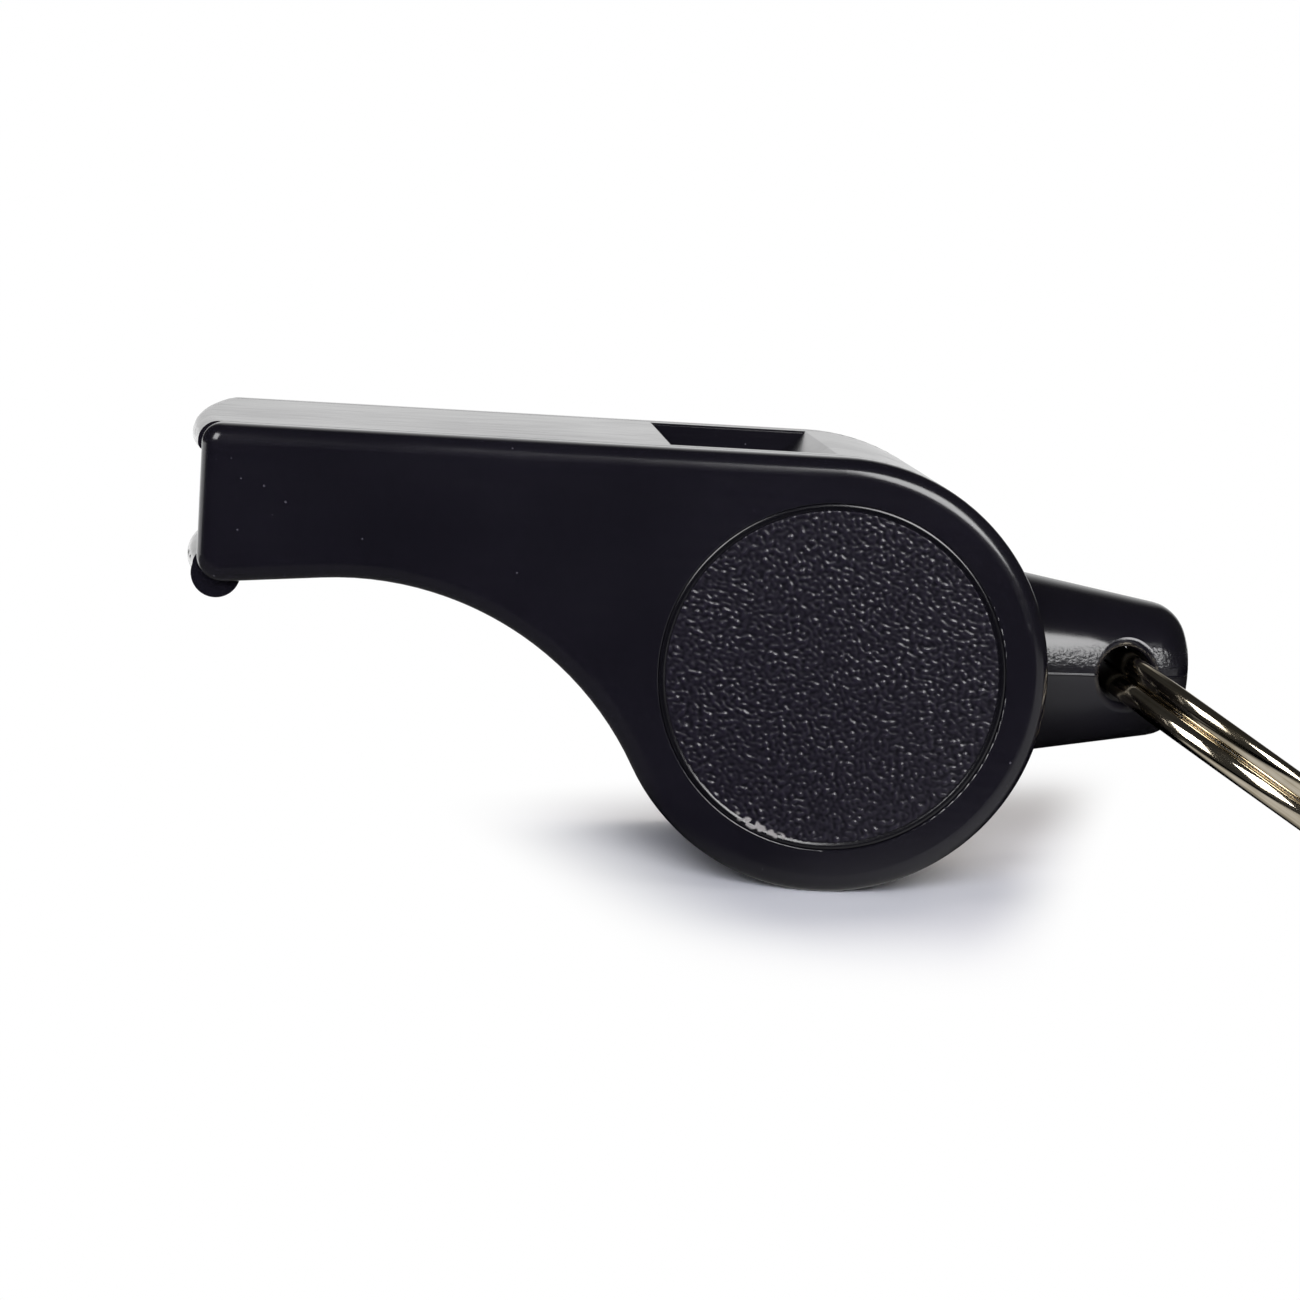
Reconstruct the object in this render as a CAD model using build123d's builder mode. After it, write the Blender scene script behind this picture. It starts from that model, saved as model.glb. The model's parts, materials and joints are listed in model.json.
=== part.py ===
from build123d import *
import os
from math import asin, atan2, cos, degrees, hypot, pi, radians, sin, sqrt, tan

# A pea whistle in millimetres, standing on its barrel.
# X runs from the mouth to the ring, Y across the body and Z up.

# Side view of the body
barrel_radius = 11.0
body_width = 20.8
mouth_reach = 31.9  # barrel axis to the front edge of the side plates
mouth_height = 8.0  # side plates at their front edge
underside_taper = 5.2  # degrees by which the mouthpiece thins towards the neck
underside_run = 6.25  # straight part of the underside, before the hollow neck

# Walls and air way of the body
barrel_wall = 1.6
roof_thickness = 2.1  # at the sound window
windway_mouth_height = 4.9
windway_exit_height = 2.0

# Sound window in the roof
window_reach = 8.53  # barrel axis to the end of the windway
blade_reach = 0.2  # barrel axis to the top of the blade's ramp
window_bridge = 0.95  # roof left standing at each side of the window
blade_angle = 42.0  # degrees between the roof and the blade's ramp
window_round = 0.15

# Lips at the mouth
lip_reach = 0.85  # how far the lips stand ahead of the side plates
lip_bow = 0.62  # how far the middle of the lips stands ahead of their ends
lip_depth = 2.0  # level part of the windway behind the plates' front edge
roof_lip_thickness = 1.5
roof_lip_round = 1.0
roof_lip_under_round = 0.4
floor_lip_round = 0.75
bead_radius = 1.24
bead_reach = 0.3  # how far the bite bead stands ahead of the side plates
bead_drop = 0.8  # how far it hangs below the underside

# Side plates and their grip discs
plate_thickness = 1.8
plate_rim_round = 0.95
plate_top_corner = 1.0
plate_low_corner = 1.3
seam_chamfer = 0.12  # weld line between a plate and the body
spigot_height = 0.8
spigot_wall = 1.0
grip_margin = 2.3  # outside of the barrel to the disc
grip_thickness = 0.9  # with its raised border
grip_depth = 0.02  # top of the border below the plate face
border_width = 0.5
border_height = 0.09
recess_round = 0.08

# Tail that carries the ring
tail_reach = 19.8
tail_root_radius = 4.77  # at the back of the barrel
tail_tip_radius = 3.23
tail_root_round = 0.5
tail_end_round = 2.2
tail_hole_margin = 3.7  # end of the tail to the middle of its cross hole
tail_hole_round = 0.35

# Loose cork ball
pea_radius = 5.25

# Split ring of wire, wound nearly twice round
ring_radius = 9.4  # to the middle of the wire
wire_radius = 0.5
turn_gap = 0.45
step_middle = 90.0  # degrees round the ring, from its far side to the middle of the step
step_angle = 50.0  # degrees in which the wire steps from one turn to the other
end_angle = 8.0  # degrees between the step and each cut end of the wire

# Fits
seat_clearance = 0.05
pea_clearance = 0.1
ring_clearance = 0.12
table_clearance = 0.1  # ring above the surface that the whistle stands on
overrun = 1.0  # how far cuts pass the faces that they open
gap_samples = 720

# Sizes that follow
core_half_width = body_width / 2 - plate_thickness
window_half_width = core_half_width - window_bridge
chamber_radius = barrel_radius - barrel_wall
windway_ceiling = barrel_radius - roof_thickness
underside_front = barrel_radius - mouth_height
lip_front = mouth_reach + lip_reach
lip_plan_radius = (core_half_width**2 + lip_bow**2) / (2 * lip_bow)
lip_centre = lip_plan_radius - lip_front
roof_lip_ceiling = barrel_radius - roof_lip_thickness
bead_centre_reach = mouth_reach + bead_reach - bead_radius
bead_height = underside_front - bead_drop + bead_radius
grip_radius = barrel_radius - grip_margin
grip_recess = grip_thickness + grip_depth
tail_hole_reach = tail_reach - tail_hole_margin
tail_slope = (tail_root_radius - tail_tip_radius) / (tail_reach - barrel_radius)
tail_hole_half = tail_root_radius - tail_slope * (tail_hole_reach - barrel_radius)
turn_pitch = 2 * wire_radius + turn_gap
half_pitch = turn_pitch / 2

# Inside the hole the ring bends by this much, so half of it goes to each side
ring_bend = ring_radius - sqrt(ring_radius**2 - tail_hole_half**2)
tail_hole_radius = hypot(ring_bend / 2, half_pitch) + wire_radius + ring_clearance
ring_centre_reach = ring_radius - ring_bend / 2
ring_far_reach = ring_centre_reach + ring_radius

# The ring droops until its far side is just above the table
droop_height = barrel_radius - wire_radius - table_clearance
droop = asin(droop_height / hypot(ring_far_reach, half_pitch)) - atan2(half_pitch, ring_far_reach)
ring_end = tail_hole_reach + ring_far_reach * cos(droop) + half_pitch * sin(droop) + wire_radius

# The origin is on the table, under the middle of the whole length
barrel_x = (lip_front - ring_end) / 2
side_plane = Plane(origin=(barrel_x, 0, barrel_radius), x_dir=(1, 0, 0), z_dir=(0, -1, 0))
plate_plane = side_plane.offset(core_half_width)
hole_centre = Vector(barrel_x + tail_hole_reach, 0, barrel_radius)
droop_along = Vector(cos(droop), 0, -sin(droop))
droop_normal = Vector(sin(droop), 0, cos(droop))
ring_centre = hole_centre + droop_along * ring_centre_reach
ring_plane = Plane(origin=ring_centre, x_dir=droop_along, z_dir=droop_normal)
os.makedirs("parts", exist_ok=True)


def side_profile(reach: float) -> Sketch:
    """Face of the body from the side, about the barrel axis, with its front edge at a given reach."""
    along = Vector(cos(radians(underside_taper)), sin(radians(underside_taper)))
    down = Vector(along.Y, -along.X)
    fall = (reach - mouth_reach) * tan(radians(underside_taper))
    neck_start = Vector(-mouth_reach, underside_front) + along * underside_run
    # The neck touches the underside at its start and then the barrel, so its centre lies
    # one neck radius below the underside and both radii away from the barrel axis.
    neck_gap = neck_start.dot(neck_start) - barrel_radius**2
    neck_radius = neck_gap / (2 * (barrel_radius - neck_start.dot(down)))
    neck_end = (neck_start + down * neck_radius) * (barrel_radius / (barrel_radius + neck_radius))
    front = (-reach, underside_front - fall)
    with BuildSketch() as profile:
        with BuildLine():
            Polyline(neck_start, front, (-reach, barrel_radius), (0, barrel_radius))
            ThreePointArc((0, barrel_radius), (barrel_radius, 0), neck_end)
            TangentArc(neck_start, neck_end, tangent=along)
        make_face()
    return profile.sketch


def ring_point(angle: float, height: float) -> Vector:
    """Point on the ring's wire, at an angle in degrees from its far side and a height off its middle."""
    across = ring_radius * sin(radians(angle))
    return ring_plane.from_local_coords(Vector(ring_radius * cos(radians(angle)), across, height))


def ring_heading(angle: float) -> Vector:
    """Direction of the wire at an angle of the ring."""
    return ring_plane.y_dir * cos(radians(angle)) - ring_plane.x_dir * sin(radians(angle))


def arc_middle(start: Vector, corner: Vector, end: Vector) -> Vector:
    """Middle of the arc that touches the lines from start to corner and from corner to end."""
    turn = radians((corner - start).get_angle(end - corner))
    weight = cos(turn / 2)
    return (start + corner * (2 * weight) + end) / (2 + 2 * weight)


def lip_faces() -> ShapeList[Face]:
    """Bowed front faces of the body, first the floor's lip and then the roof's."""
    return body.faces().filter_by(GeomType.CYLINDER).sort_by(Axis.X)[:2].sort_by(Axis.Z)


# Body: roof, windway, barrel wall, lips and tail in one moulding
window_floor = windway_ceiling - overrun
blade_foot = blade_reach + (barrel_radius - window_floor) / tan(radians(blade_angle))
blade_top = blade_reach - overrun / tan(radians(blade_angle))
windway_mouth = roof_lip_ceiling - windway_mouth_height
windway_exit = windway_ceiling - windway_exit_height
windway_level_end = mouth_reach - lip_depth
mouth_overrun = lip_front + overrun
with BuildPart() as body:
    with BuildSketch(side_plane):
        add(side_profile(lip_front))
    extrude(amount=core_half_width, both=True)

    # Tapered round tail with a round end
    with BuildSketch(side_plane):
        with BuildLine():
            Polyline(
                (0, 0),
                (0, tail_root_radius + tail_slope * barrel_radius),
                (tail_reach, tail_tip_radius),
                (tail_reach, 0),
                close=True,
            )
        make_face()
    revolve(axis=Axis(side_plane.origin, (1, 0, 0)))
    fillet(body.edges().filter_by(GeomType.CIRCLE).sort_by(Axis.X)[-1], tail_end_round)
    tail_root = body.faces().filter_by(GeomType.CONE)[0].edges().sort_by(Axis.X)[0]
    fillet(tail_root, tail_root_round)

    # Cross hole for the ring, with round mouths
    with BuildSketch(side_plane):
        with Locations((tail_hole_reach, 0)):
            Circle(tail_hole_radius)
    extrude(amount=core_half_width, both=True, mode=Mode.SUBTRACT)
    hole_wall = body.faces().filter_by(GeomType.CYLINDER).sort_by(Axis.X)[-1]
    fillet(hole_wall.edges().filter_by(GeomType.LINE, reverse=True), tail_hole_round)

    # Round sound chamber, and the windway that tapers down to it under the roof
    with BuildSketch(side_plane):
        Circle(chamber_radius)
        with BuildLine():
            Polyline(
                (-mouth_overrun, roof_lip_ceiling),
                (-windway_level_end, roof_lip_ceiling),
                (-window_reach, windway_ceiling),
                (0, windway_ceiling),
                (0, 0),
                (-window_reach, 0),
                (-window_reach, windway_exit),
                (-windway_level_end, windway_mouth),
                (-mouth_overrun, windway_mouth),
                close=True,
            )
        make_face()
    extrude(amount=core_half_width + overrun, both=True, mode=Mode.SUBTRACT)

    # Sound window, square at the windway's end and with a ramp down to the blade
    with BuildSketch(side_plane):
        with BuildLine():
            Polyline(
                (-window_reach, window_floor),
                (-window_reach, barrel_radius + overrun),
                (-blade_top, barrel_radius + overrun),
                (-blade_foot, window_floor),
                close=True,
            )
        make_face()
    extrude(amount=window_half_width, both=True, mode=Mode.SUBTRACT)
    roof = body.faces().filter_by(Axis.Z).sort_by(Axis.Z)[-1]
    fillet(roof.inner_wires()[0].edges(), window_round)

    # Bowed and rounded lips of the roof and the floor
    with BuildSketch(Plane.XY.offset(barrel_radius)):
        with Locations((barrel_x - mouth_reach, 0)):
            Rectangle(2 * mouth_height, body_width)
        with Locations((barrel_x + lip_centre, 0)):
            Circle(lip_plan_radius, mode=Mode.SUBTRACT)
    extrude(amount=barrel_radius + overrun, mode=Mode.SUBTRACT)
    fillet(lip_faces()[1].edges().sort_by(Axis.Z)[-1], roof_lip_round)
    fillet(lip_faces()[1].edges().sort_by(Axis.Z)[0], roof_lip_under_round)
    fillet(lip_faces()[0].edges().sort_by(Axis.Z)[-1], floor_lip_round)
    fillet(lip_faces()[0].edges().sort_by(Axis.Z)[0], floor_lip_round)

    # Bite bead across the underside, behind the floor's lip
    with BuildSketch(side_plane):
        with Locations((-bead_centre_reach, bead_height)):
            Circle(bead_radius)
    extrude(amount=core_half_width, both=True)

# Side plate with a rounded rim, a recess for the grip disc and a spigot in the chamber
with BuildPart() as right_side_plate:
    with BuildSketch(plate_plane) as plate_outline:
        add(side_profile(mouth_reach))
        front_corners = plate_outline.vertices().group_by(Axis.X)[0].sort_by(Axis.Y)
        fillet(front_corners[0], plate_low_corner)
        fillet(plate_outline.vertices().group_by(Axis.X)[0].sort_by(Axis.Y)[-1], plate_top_corner)
    extrude(amount=plate_thickness)
    fillet(right_side_plate.faces().sort_by(Axis.Y)[0].edges(), plate_rim_round)
    chamfer(right_side_plate.faces().sort_by(Axis.Y)[-1].edges(), seam_chamfer)
    with BuildSketch(plate_plane.offset(plate_thickness)):
        Circle(grip_radius + seat_clearance)
    extrude(amount=-grip_recess, mode=Mode.SUBTRACT)
    outer_face = right_side_plate.faces().sort_by(Axis.Y)[0]
    fillet(outer_face.inner_wires()[0].edges(), recess_round)
    with BuildSketch(plate_plane):
        Circle(chamber_radius - seat_clearance)
        Circle(chamber_radius - seat_clearance - spigot_wall, mode=Mode.SUBTRACT)
    extrude(amount=-spigot_height)

with BuildPart() as left_side_plate:
    mirror(right_side_plate.part, about=Plane.XZ)

# Grip discs, which lie on the floors of the recesses and have a raised round border
disc_floor = plate_plane.offset(plate_thickness - grip_recess).origin
grip_level = grip_thickness - border_height
border_outside = (grip_radius, grip_level)
border_top = (grip_radius - border_width / 2, grip_thickness)
border_inside = (grip_radius - border_width, grip_level)
with BuildPart() as right_grip_disc:
    with BuildSketch(Plane(origin=disc_floor, x_dir=(1, 0, 0), z_dir=(0, 0, -1))):
        with BuildLine():
            Polyline(border_inside, (0, grip_level), (0, 0), (grip_radius, 0), border_outside)
            ThreePointArc(border_outside, border_top, border_inside)
        make_face()
    revolve(axis=Axis(disc_floor, (0, 1, 0)))

with BuildPart() as left_grip_disc:
    mirror(right_grip_disc.part, about=Plane.XZ)

# Loose cork ball at the bottom of the chamber
pea_orbit = chamber_radius - pea_radius - pea_clearance
with BuildPart() as pea:
    with Locations((barrel_x, 0, barrel_radius - pea_orbit)):
        Sphere(pea_radius)

# Split ring: an upper turn, a step across and a lower turn
step_start = step_middle - step_angle / 2
step_end = step_middle + step_angle / 2
turn_angle = 360 - step_angle - end_angle
upper_start = ring_point(step_start, half_pitch)
lower_start = ring_point(step_end, -half_pitch)
step_run = lower_start - upper_start
headings = ring_heading(step_start) + ring_heading(step_end)
heading_spread = 1 - ring_heading(step_start).dot(ring_heading(step_end))
pull = step_run.dot(headings)
reach_root = sqrt(pull**2 + 2 * heading_spread * step_run.dot(step_run))
step_handle = (reach_root - pull) / (2 * heading_spread)
first_corner = upper_start + ring_heading(step_start) * step_handle
second_corner = lower_start - ring_heading(step_end) * step_handle
step_joint = (first_corner + second_corner) / 2
with BuildPart() as split_ring:
    with BuildLine() as ring_path:
        for part_turn in (turn_angle, turn_angle / 2):
            ThreePointArc(
                ring_point(step_start - part_turn, half_pitch),
                ring_point(step_start - part_turn + turn_angle / 4, half_pitch),
                ring_point(step_start - part_turn + turn_angle / 2, half_pitch),
            )
        ThreePointArc(upper_start, arc_middle(upper_start, first_corner, step_joint), step_joint)
        ThreePointArc(step_joint, arc_middle(step_joint, second_corner, lower_start), lower_start)
        for part_turn in (0, turn_angle / 2):
            ThreePointArc(
                ring_point(step_end + part_turn, -half_pitch),
                ring_point(step_end + part_turn + turn_angle / 4, -half_pitch),
                ring_point(step_end + part_turn + turn_angle / 2, -half_pitch),
            )
    with BuildSketch(Plane(origin=ring_path.line @ 0, z_dir=ring_path.line % 0)):
        Circle(wire_radius)
    sweep(path=ring_path.line)

# Least gap of the ring's wire to itself, past the stretch that joins each pair of points
ring_wire = ring_path.wire()
wire_points = [ring_wire @ (index / gap_samples) for index in range(gap_samples + 1)]
near_span = int(gap_samples * 4 * wire_radius / ring_wire.length)
least_gap = min(
    (first - second).length - 2 * wire_radius
    for index, first in enumerate(wire_points)
    for second in wire_points[index + near_span :]
)
print(f"least gap between the ring's turns {least_gap:.2f} mm")
wire_volume = ring_wire.length * pi * wire_radius**2
print(f"ring volume {split_ring.part.volume:.2f} mm3, section times length {wire_volume:.2f} mm3")
print(f"barrel axis at x {barrel_x:.3f}, ring droops {degrees(droop):.2f} degrees")

pieces = {
    "body": body,
    "right_side_plate": right_side_plate,
    "left_side_plate": left_side_plate,
    "right_grip_disc": right_grip_disc,
    "left_grip_disc": left_grip_disc,
    "pea": pea,
    "split_ring": split_ring,
}
for name, piece in pieces.items():
    piece.part.label = name
    export_step(piece.part, f"parts/{name}.step")
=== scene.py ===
"""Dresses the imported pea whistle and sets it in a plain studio.

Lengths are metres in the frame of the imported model: X runs from the mouth to the ring, Y away from
the camera and Z up from the table. Sizes are written in millimetres and turned to metres by MM.
"""

import json
import logging
import math
from dataclasses import dataclass
from enum import Enum

import bpy
import numpy as np
from bpy.types import Material, Node, NodeSocket, NodeTree, Object, World
from mathutils import Matrix, Vector


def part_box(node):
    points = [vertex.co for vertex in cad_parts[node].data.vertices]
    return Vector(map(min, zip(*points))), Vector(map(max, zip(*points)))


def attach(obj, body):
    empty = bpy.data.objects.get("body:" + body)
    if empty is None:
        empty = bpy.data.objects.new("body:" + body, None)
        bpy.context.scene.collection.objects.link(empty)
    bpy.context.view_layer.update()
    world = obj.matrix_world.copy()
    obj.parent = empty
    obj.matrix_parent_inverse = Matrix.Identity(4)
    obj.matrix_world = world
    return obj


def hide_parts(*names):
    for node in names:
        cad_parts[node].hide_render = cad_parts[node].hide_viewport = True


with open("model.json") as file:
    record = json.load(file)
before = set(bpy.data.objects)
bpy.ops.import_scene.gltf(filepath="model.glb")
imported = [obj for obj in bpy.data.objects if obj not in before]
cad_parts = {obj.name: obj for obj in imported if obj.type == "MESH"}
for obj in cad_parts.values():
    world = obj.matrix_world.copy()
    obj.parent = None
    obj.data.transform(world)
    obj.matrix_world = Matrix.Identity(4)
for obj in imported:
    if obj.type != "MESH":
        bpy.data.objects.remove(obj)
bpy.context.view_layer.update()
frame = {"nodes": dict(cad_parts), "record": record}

LOG = logging.getLogger("whistle")
MM = 0.001
IMAGE_SIDE = 1300  # pixels
SENSOR_WIDTH = 36.0  # millimetres


class Side(Enum):
    """The two sides of the whistle, as the direction that each faces along Y."""

    RIGHT = -1.0
    LEFT = 1.0

    @property
    def word(self) -> str:
        """Lower-case name of the side."""
        return self.name.lower()


def linear_colour(code: str) -> tuple[float, float, float, float]:
    """Turns an sRGB hex colour into linear red, green, blue and an alpha of one.

    Args:
        code: six hex digits after a hash sign.

    Returns:
        The linear colour.
    """
    shares = [int(code[index : index + 2], 16) / 255 for index in (1, 3, 5)]
    linear = [s / 12.92 if s <= 0.04045 else ((s + 0.055) / 1.055) ** 2.4 for s in shares]
    return (*linear, 1.0)


def add_node(tree: NodeTree, kind: str, settings: dict | None = None, values: dict | None = None,
             links: dict | None = None) -> Node:
    """Adds a node with its settings, its constant values and its links.

    Args:
        tree: node tree that gets the node.
        kind: type of the node, as bpy names it after ShaderNode.
        settings: attributes of the node by name.
        values: constants by input name or index.
        links: output sockets by the input name or index that they feed.

    Returns:
        The new node.
    """
    node = tree.nodes.new(f"ShaderNode{kind}")
    for name, value in (settings or {}).items():
        setattr(node, name, value)
    for key, value in (values or {}).items():
        node.inputs[key].default_value = value
    for key, socket in (links or {}).items():
        tree.links.new(socket, node.inputs[key])
    return node


def clear_tree(owner: Material | World) -> NodeTree:
    """Turns on the nodes of a material or world, and empties them.

    Args:
        owner: material or world.

    Returns:
        The empty node tree.
    """
    owner.use_nodes = True
    owner.node_tree.nodes.clear()
    return owner.node_tree


def new_material(name: str) -> tuple[Material, NodeTree, Node]:
    """Makes a material with an empty Principled shader.

    Args:
        name: name of the real material.

    Returns:
        The material, its node tree and its shader.
    """
    material = bpy.data.materials.new(name)
    tree = clear_tree(material)
    shader = add_node(tree, "BsdfPrincipled")
    add_node(tree, "OutputMaterial", links={"Surface": shader.outputs["BSDF"]})
    return material, tree, shader


def dress(piece: Object, material: Material) -> None:
    """Gives a piece one material all over."""
    piece.data.materials.clear()
    piece.data.materials.append(material)


def mesh_piece(name: str, points: np.ndarray, groups: list[np.ndarray]) -> Object:
    """Makes a smoothly shaded object at the origin from points and groups of faces.

    Args:
        name: name of the piece.
        points: one row of three metres for each vertex.
        groups: arrays with one row of vertex numbers for each face.

    Returns:
        The linked object.
    """
    mesh = bpy.data.meshes.new(name)
    mesh.from_pydata(points.tolist(), [], sum((group.tolist() for group in groups), []))
    mesh.polygons.foreach_set("use_smooth", np.ones(len(mesh.polygons), bool))
    mesh.update()
    piece = bpy.data.objects.new(name, mesh)
    bpy.context.scene.collection.objects.link(piece)
    return piece


def grid_faces(rows: int, columns: int, closed: bool) -> np.ndarray:
    """Lists the quads of a grid whose vertices run row by row.

    Args:
        rows: rows of vertices.
        columns: vertices in a row.
        closed: whether the last column joins the first.

    Returns:
        Four vertex numbers for each quad.
    """
    row, column = np.mgrid[0 : rows - 1, 0 : columns if closed else columns - 1]
    after = (column + 1) % columns
    here, below = row * columns, (row + 1) * columns
    corners = (here + column, here + after, below + after, below + column)
    return np.stack([corner.ravel() for corner in corners], axis=1)


def fan_faces(rim: np.ndarray, middle: int, turned: bool = False) -> np.ndarray:
    """Lists the triangles that join a closed rim to the vertex in its middle.

    Args:
        rim: vertex numbers round the rim.
        middle: number of the vertex in the middle.
        turned: whether the triangles face the other way.

    Returns:
        Three vertex numbers for each triangle.
    """
    after = np.roll(rim, -1)
    first, second = (after, rim) if turned else (rim, after)
    return np.stack([first, second, np.full(len(rim), middle)], axis=1)


def direction(azimuth: float, elevation: float) -> Vector:
    """Direction by its degrees to the right of the front and its degrees above the table."""
    turn, rise = math.radians(azimuth), math.radians(elevation)
    return Vector((math.sin(turn) * math.cos(rise), -math.cos(turn) * math.cos(rise), math.sin(rise)))


@dataclass(frozen=True)
class PolishedAbs:
    """Black ABS from a polished mould: near mirror-smooth, with handling haze, fine scratches and dust.

    The tail's lower half is satin, a grained strip lies above it, and a thin raised line runs between
    them where the halves of the mould met.
    """

    colour: str = "#0c0b0f"
    haze_colour: str = "#15131a"
    dust_colour: str = "#454348"
    ior: float = 1.52
    roughness: float = 0.15
    haze_roughness: float = 0.23
    satin_roughness: float = 0.46
    haze_mm: float = 9.0
    scratch_mm: float = 0.35  # real ones are finer, and these are as coarse as they need to be to show
    scratch_length: float = 14.0  # times its width
    scratch_lean: float = 8.0  # degrees
    least_wear: float = 0.14  # haze times scratches where the roughness starts to rise, and where it ends
    most_wear: float = 0.42
    peel_mm: float = 1.6
    peel_depth_mm: float = 0.02
    peel_strength: float = 0.06
    dust_mm: float = 0.55
    dust_reach: float = 0.11  # largest speck, as a share of its cell
    dusty_mm: float = -31.0  # dust is thickest ahead of this place, and thinnest behind the next
    clear_mm: float = -26.0
    dusty_bare: float = 0.25  # share of the cells that have no speck
    clear_bare: float = 0.86
    strip_grain_mm: float = 0.18
    strip_depth_mm: float = 0.045
    strip_height_mm: float = 1.7
    strip_dullness: float = 0.4  # against one on the satin half
    tail_start_mm: float = 11.2
    tail_blend_mm: float = 0.3
    satin_blend_mm: float = 0.05
    parting_height_mm: float = 11.0
    parting_width_mm: float = 0.09
    parting_depth_mm: float = 0.035

    def material(self) -> Material:
        """Builds the material.

        Returns:
            The material.
        """
        material, tree, shader = new_material("polished black ABS")
        place = add_node(tree, "TexCoord").outputs["Object"]
        haze = add_node(tree, "TexNoise",
                        values={"Scale": 1 / (self.haze_mm * MM), "Detail": 4.0}, links={"Vector": place})
        satin, strip, parting = self.tail_masks(tree, place)
        rough = self.worn_roughness(tree, place, haze.outputs["Fac"])
        matt = add_node(tree, "Math", {"operation": "MULTIPLY_ADD"}, {1: self.strip_dullness},
                        {0: strip, 2: satin})
        dull = add_node(tree, "Mix", {"data_type": "FLOAT"}, {3: self.satin_roughness},
                        {0: matt.outputs["Value"], 2: rough})
        tree.links.new(dull.outputs[0], shader.inputs["Roughness"])
        shade = add_node(tree, "Mix", {"data_type": "RGBA"},
                         {6: linear_colour(self.colour), 7: linear_colour(self.haze_colour)},
                         {0: haze.outputs["Fac"]})
        dusty = add_node(tree, "Mix", {"data_type": "RGBA"}, {7: linear_colour(self.dust_colour)},
                         {0: self.dust(tree, place), 6: shade.outputs[2]})
        tree.links.new(dusty.outputs[2], shader.inputs["Base Color"])
        tree.links.new(self.relief(tree, place, strip, parting), shader.inputs["Normal"])
        shader.inputs["IOR"].default_value = self.ior
        return material

    def relief(self, tree: NodeTree, place: NodeSocket, strip: NodeSocket, parting: NodeSocket) -> NodeSocket:
        """Adds a faint swell all over, the strip's grain and the parting line, one on another.

        Args:
            tree: node tree of the material.
            place: Object coordinates.
            strip: mask of the grained strip.
            parting: mask of the parting line.

        Returns:
            Socket of the normal.
        """
        peel = add_node(tree, "TexNoise",
                        values={"Scale": 1 / (self.peel_mm * MM), "Detail": 2.0}, links={"Vector": place})
        swell = add_node(tree, "Bump",
                         values={"Strength": self.peel_strength, "Distance": self.peel_depth_mm * MM},
                         links={"Height": peel.outputs["Fac"]})
        grain = add_node(tree, "TexNoise", values={"Scale": 1 / (self.strip_grain_mm * MM), "Detail": 2.0},
                         links={"Vector": place})
        grained = add_node(tree, "Math", {"operation": "MULTIPLY"},
                           links={0: grain.outputs["Fac"], 1: strip})
        speckle = add_node(tree, "Bump", values={"Strength": 1.0, "Distance": self.strip_depth_mm * MM},
                           links={"Height": grained.outputs["Value"], "Normal": swell.outputs["Normal"]})
        ridge = add_node(tree, "Bump", values={"Strength": 1.0, "Distance": self.parting_depth_mm * MM},
                         links={"Height": parting, "Normal": speckle.outputs["Normal"]})
        return ridge.outputs["Normal"]

    def worn_roughness(self, tree: NodeTree, place: NodeSocket, haze: NodeSocket) -> NodeSocket:
        """Adds the roughness of the polish, which rises where haze and long scratches meet.

        Args:
            tree: node tree of the material.
            place: Object coordinates.
            haze: share of haze.

        Returns:
            Socket of the roughness.
        """
        lanes = add_node(tree, "Mapping", values={"Rotation": (0.0, math.radians(self.scratch_lean), 0.0),
                                 "Scale": (1 / self.scratch_length, 1.0, 1.0)}, links={"Vector": place})
        scratches = add_node(tree, "TexNoise",
                             values={"Scale": 1 / (self.scratch_mm * MM), "Detail": 3.0, "Roughness": 0.7},
                             links={"Vector": lanes.outputs["Vector"]})
        wear = add_node(tree, "Math", {"operation": "MULTIPLY"},
                        links={0: haze, 1: scratches.outputs["Fac"]})
        rough = add_node(tree, "MapRange", values={"From Min": self.least_wear, "From Max": self.most_wear,
                                 "To Min": self.roughness, "To Max": self.haze_roughness},
                         links={"Value": wear.outputs["Value"]})
        return rough.outputs["Result"]

    def dust(self, tree: NodeTree, place: NodeSocket) -> NodeSocket:
        """Adds specks of dust: one in some of the cells, of its own size, and in most cells by the mouth.

        Args:
            tree: node tree of the material.
            place: Object coordinates.

        Returns:
            Socket of the specks' mask.
        """
        cells = add_node(tree, "TexVoronoi", values={"Scale": 1 / (self.dust_mm * MM)},
                         links={"Vector": place})
        chance = add_node(tree, "SeparateColor", links={"Color": cells.outputs["Color"]})
        split = add_node(tree, "SeparateXYZ", links={"Vector": place})
        bare = add_node(tree, "MapRange",
                        values={"From Min": self.dusty_mm * MM, "From Max": self.clear_mm * MM,
                                "To Min": self.dusty_bare, "To Max": self.clear_bare},
                        links={"Value": split.outputs["X"]})
        reach = add_node(tree, "MapRange",
                         values={"From Max": 1.0, "To Min": 0.0, "To Max": self.dust_reach},
                         links={"Value": chance.outputs["Red"], "From Min": bare.outputs["Result"]})
        speck = add_node(tree, "Math", {"operation": "LESS_THAN"},
                         links={0: cells.outputs["Distance"], 1: reach.outputs["Result"]})
        return speck.outputs["Value"]

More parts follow.
